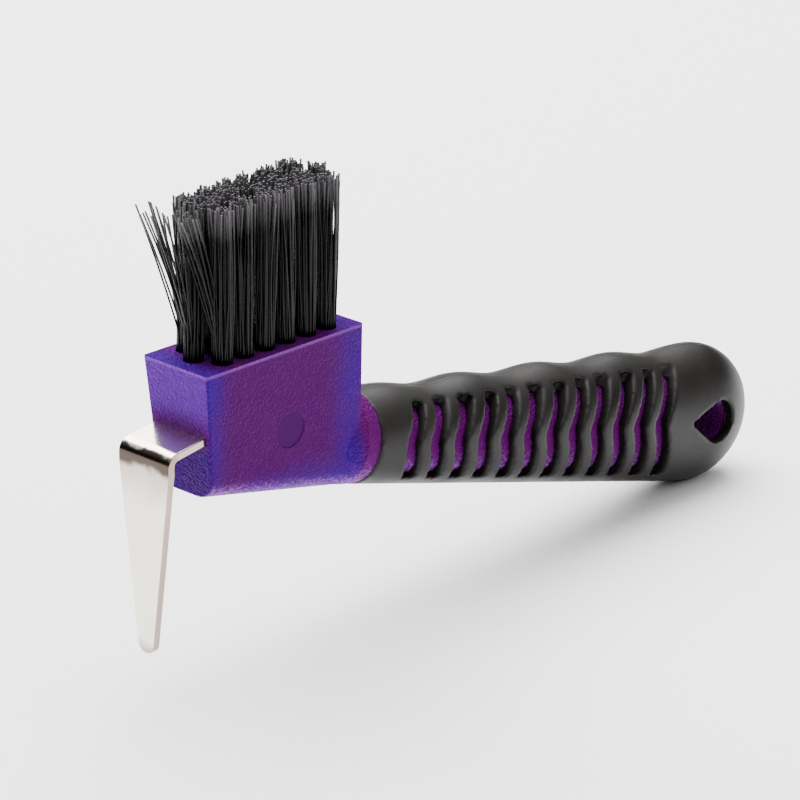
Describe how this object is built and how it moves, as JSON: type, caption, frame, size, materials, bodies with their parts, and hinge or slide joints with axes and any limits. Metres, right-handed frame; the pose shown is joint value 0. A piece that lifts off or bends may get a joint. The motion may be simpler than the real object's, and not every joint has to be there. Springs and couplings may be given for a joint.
{
  "type": "hoof pick",
  "caption": "Hoof pick with a bent tapering steel pick, a brush of bristle tufts on a moulded head and a slotted rubber grip with a hanging hole.",
  "frame": {"origin": "bottom centre of the outline, below the middle of the tool's length", "axes": "+Z along the bristles, +X from the pick towards the butt of the handle, +Y to the far side"},
  "size_m": [0.2018, 0.0239, 0.1116],
  "materials": {
    "purple_moulding": "grained semi-gloss polypropylene",
    "black_rubber": "satin soft rubber",
    "nickel_plate": "bright nickel plating over iron",
    "black_bristle": "black polypropylene filament",
    "anchor_wire": "plain flat steel wire"
  },
  "bodies": {
    "root": {"head_and_handle_core": "purple_moulding", "rubber_grip": "black_rubber", "hoof_pick_blade": "nickel_plate", "tuft_anchors": "anchor_wire", "tuft_near_1": "black_bristle", "tuft_near_2": "black_bristle", "tuft_near_3": "black_bristle", "tuft_near_4": "black_bristle", "tuft_near_5": "black_bristle", "tuft_near_6": "black_bristle", "tuft_middle_1": "black_bristle", "tuft_middle_2": "black_bristle", "tuft_middle_3": "black_bristle", "tuft_middle_4": "black_bristle", "tuft_middle_5": "black_bristle", "tuft_middle_6": "black_bristle", "tuft_middle_7": "black_bristle", "tuft_far_1": "black_bristle", "tuft_far_2": "black_bristle", "tuft_far_3": "black_bristle", "tuft_far_4": "black_bristle", "tuft_far_5": "black_bristle", "tuft_far_6": "black_bristle"}
  },
  "joints": []
}
